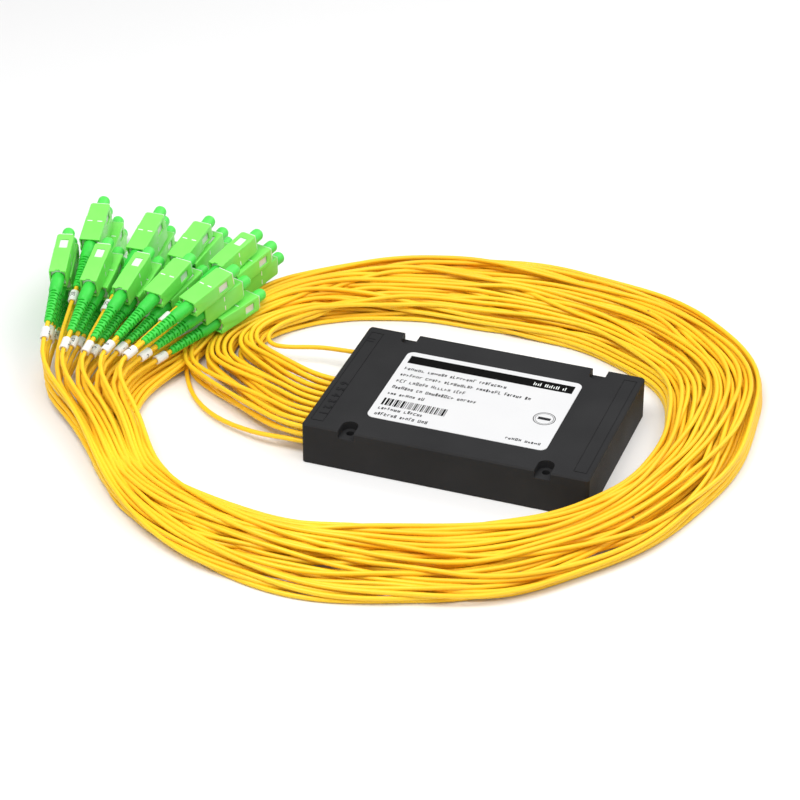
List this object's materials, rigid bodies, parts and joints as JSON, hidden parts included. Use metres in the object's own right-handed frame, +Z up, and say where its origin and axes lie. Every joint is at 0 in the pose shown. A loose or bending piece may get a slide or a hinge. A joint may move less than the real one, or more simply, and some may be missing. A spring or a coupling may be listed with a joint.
{
  "type": "plc fibre splitter",
  "caption": "Flat black fibre splitter box with coiled yellow leads, each ending in a green push-pull connector.",
  "frame": {"origin": "centre of the box's underside", "axes": "+X along the box, away from its lead outlet; +Y across it, towards the input lead's side; +Z up"},
  "size_m": [0.3189, 0.2634, 0.0385],
  "materials": {
    "box_plastic": "satin black",
    "label_film": "printed film",
    "foam": "soft adhesive pad",
    "steel": "drawn tube",
    "silica": "polished",
    "ribbon": "coated fibre",
    "lead_jacket": "smooth jacket",
    "boot_rubber": "moulded",
    "grip_plastic": "moulded",
    "cap_plastic": "soft moulded",
    "white_plastic": "moulded",
    "ceramic": "ground zirconia"
  },
  "bodies": {
    "splitter": {"box_cover": "box_plastic", "box_base": "box_plastic", "label": "label_film", "lead_comb": "box_plastic", "chip_pad": "foam", "chip_case": "steel", "splitter_chip": "silica", "fanout_block": "box_plastic", "ribbon_fibres": "ribbon", "lead_coil": "lead_jacket", "output_leads": "lead_jacket", "input_lead": "lead_jacket", "input_fibre": "ribbon", "connector_boots": "boot_rubber", "connector_bodies": "white_plastic", "connector_ferrules": "ceramic", "dust_caps": "cap_plastic", "marker_sleeves": "white_plastic"},
    "grip_01": {"sleeve_01": "grip_plastic"},
    "grip_02": {"sleeve_02": "grip_plastic"},
    "grip_03": {"sleeve_03": "grip_plastic"},
    "grip_04": {"sleeve_04": "grip_plastic"},
    "grip_05": {"sleeve_05": "grip_plastic"},
    "grip_06": {"sleeve_06": "grip_plastic"},
    "grip_07": {"sleeve_07": "grip_plastic"},
    "grip_08": {"sleeve_08": "grip_plastic"},
    "grip_09": {"sleeve_09": "grip_plastic"},
    "grip_10": {"sleeve_10": "grip_plastic"},
    "grip_11": {"sleeve_11": "grip_plastic"},
    "grip_12": {"sleeve_12": "grip_plastic"},
    "grip_13": {"sleeve_13": "grip_plastic"},
    "grip_14": {"sleeve_14": "grip_plastic"},
    "grip_15": {"sleeve_15": "grip_plastic"},
    "grip_16": {"sleeve_16": "grip_plastic"},
    "grip_17": {"sleeve_17": "grip_plastic"},
    "grip_18": {"sleeve_18": "grip_plastic"},
    "grip_19": {"sleeve_19": "grip_plastic"},
    "grip_20": {"sleeve_20": "grip_plastic"},
    "grip_21": {"sleeve_21": "grip_plastic"},
    "grip_22": {"sleeve_22": "grip_plastic"},
    "grip_23": {"sleeve_23": "grip_plastic"},
    "grip_24": {"sleeve_24": "grip_plastic"},
    "grip_25": {"sleeve_25": "grip_plastic"},
    "grip_26": {"sleeve_26": "grip_plastic"},
    "grip_27": {"sleeve_27": "grip_plastic"},
    "grip_28": {"sleeve_28": "grip_plastic"},
    "grip_29": {"sleeve_29": "grip_plastic"},
    "grip_30": {"sleeve_30": "grip_plastic"},
    "grip_31": {"sleeve_31": "grip_plastic"},
    "grip_32": {"sleeve_32": "grip_plastic"},
    "grip_input": {"sleeve_input": "grip_plastic"}
  },
  "joints": [
    {"name": "sleeve_01_slide", "type": "slide", "parent": "splitter", "child": "grip_01", "axis": [-0.3418, -0.9391, -0.0349], "range_m": [0, 0.002]},
    {"name": "sleeve_02_slide", "type": "slide", "parent": "splitter", "child": "grip_02", "axis": [-0.3278, -0.939, -0.1045], "range_m": [0, 0.002]},
    {"name": "sleeve_03_slide", "type": "slide", "parent": "splitter", "child": "grip_03", "axis": [-0.3447, -0.9225, -0.1736], "range_m": [0, 0.002]},
    {"name": "sleeve_04_slide", "type": "slide", "parent": "splitter", "child": "grip_04", "axis": [-0.257, -0.9658, -0.0349], "range_m": [0, 0.002]},
    {"name": "sleeve_05_slide", "type": "slide", "parent": "splitter", "child": "grip_05", "axis": [-0.2774, -0.955, -0.1045], "range_m": [0, 0.002]},
    {"name": "sleeve_06_slide", "type": "slide", "parent": "splitter", "child": "grip_06", "axis": [-0.2043, -0.9783, -0.0349], "range_m": [0, 0.002]},
    {"name": "sleeve_07_slide", "type": "slide", "parent": "splitter", "child": "grip_07", "axis": [-0.1868, -0.9768, -0.1045], "range_m": [0, 0.002]},
    {"name": "sleeve_08_slide", "type": "slide", "parent": "splitter", "child": "grip_08", "axis": [-0.1764, -0.9689, -0.1736], "range_m": [0, 0.002]},
    {"name": "sleeve_09_slide", "type": "slide", "parent": "splitter", "child": "grip_09", "axis": [-0.1052, -0.9945, 0], "range_m": [0, 0.002]},
    {"name": "sleeve_10_slide", "type": "slide", "parent": "splitter", "child": "grip_10", "axis": [-0.1048, -0.992, -0.0698], "range_m": [0, 0.002]},
    {"name": "sleeve_11_slide", "type": "slide", "parent": "splitter", "child": "grip_11", "axis": [-0.1252, -0.9823, -0.1392], "range_m": [0, 0.002]},
    {"name": "sleeve_12_slide", "type": "slide", "parent": "splitter", "child": "grip_12", "axis": [-0.1103, -0.9719, -0.2079], "range_m": [0, 0.002]},
    {"name": "sleeve_13_slide", "type": "slide", "parent": "splitter", "child": "grip_13", "axis": [-0.0318, -0.9995, 0], "range_m": [0, 0.002]},
    {"name": "sleeve_14_slide", "type": "slide", "parent": "splitter", "child": "grip_14", "axis": [-0.0487, -0.9964, -0.0698], "range_m": [0, 0.002]},
    {"name": "sleeve_15_slide", "type": "slide", "parent": "splitter", "child": "grip_15", "axis": [-0.0288, -0.9899, -0.1392], "range_m": [0, 0.002]},
    {"name": "sleeve_16_slide", "type": "slide", "parent": "splitter", "child": "grip_16", "axis": [-0.0243, -0.9778, -0.2079], "range_m": [0, 0.002]},
    {"name": "sleeve_17_slide", "type": "slide", "parent": "splitter", "child": "grip_17", "axis": [0.0314, -0.9995, 0], "range_m": [0, 0.002]},
    {"name": "sleeve_18_slide", "type": "slide", "parent": "splitter", "child": "grip_18", "axis": [0.0538, -0.9961, -0.0698], "range_m": [0, 0.002]},
    {"name": "sleeve_19_slide", "type": "slide", "parent": "splitter", "child": "grip_19", "axis": [0.0487, -0.9891, -0.1392], "range_m": [0, 0.002]},
    {"name": "sleeve_20_slide", "type": "slide", "parent": "splitter", "child": "grip_20", "axis": [0.0291, -0.9777, -0.2079], "range_m": [0, 0.002]},
    {"name": "sleeve_21_slide", "type": "slide", "parent": "splitter", "child": "grip_21", "axis": [0.1349, -0.9909, 0], "range_m": [0, 0.002]},
    {"name": "sleeve_22_slide", "type": "slide", "parent": "splitter", "child": "grip_22", "axis": [0.1217, -0.9901, -0.0698], "range_m": [0, 0.002]},
    {"name": "sleeve_23_slide", "type": "slide", "parent": "splitter", "child": "grip_23", "axis": [0.1077, -0.9844, -0.1392], "range_m": [0, 0.002]},
    {"name": "sleeve_24_slide", "type": "slide", "parent": "splitter", "child": "grip_24", "axis": [0.1274, -0.9698, -0.2079], "range_m": [0, 0.002]},
    {"name": "sleeve_25_slide", "type": "slide", "parent": "splitter", "child": "grip_25", "axis": [0.1941, -0.981, 0], "range_m": [0, 0.002]},
    {"name": "sleeve_26_slide", "type": "slide", "parent": "splitter", "child": "grip_26", "axis": [0.1886, -0.9796, -0.0698], "range_m": [0, 0.002]},
    {"name": "sleeve_27_slide", "type": "slide", "parent": "splitter", "child": "grip_27", "axis": [0.2092, -0.9679, -0.1392], "range_m": [0, 0.002]},
    {"name": "sleeve_28_slide", "type": "slide", "parent": "splitter", "child": "grip_28", "axis": [0.1976, -0.958, -0.2079], "range_m": [0, 0.002]},
    {"name": "sleeve_29_slide", "type": "slide", "parent": "splitter", "child": "grip_29", "axis": [0.2698, -0.9629, 0], "range_m": [0, 0.002]},
    {"name": "sleeve_30_slide", "type": "slide", "parent": "splitter", "child": "grip_30", "axis": [0.2882, -0.955, -0.0698], "range_m": [0, 0.002]},
    {"name": "sleeve_31_slide", "type": "slide", "parent": "splitter", "child": "grip_31", "axis": [0.2702, -0.9527, -0.1392], "range_m": [0, 0.002]},
    {"name": "sleeve_32_slide", "type": "slide", "parent": "splitter", "child": "grip_32", "axis": [0.2583, -0.9434, -0.2079], "range_m": [0, 0.002]},
    {"name": "sleeve_input_slide", "type": "slide", "parent": "splitter", "child": "grip_input", "axis": [-0.2656, -0.9483, -0.1736], "range_m": [0, 0.002]}
  ]
}
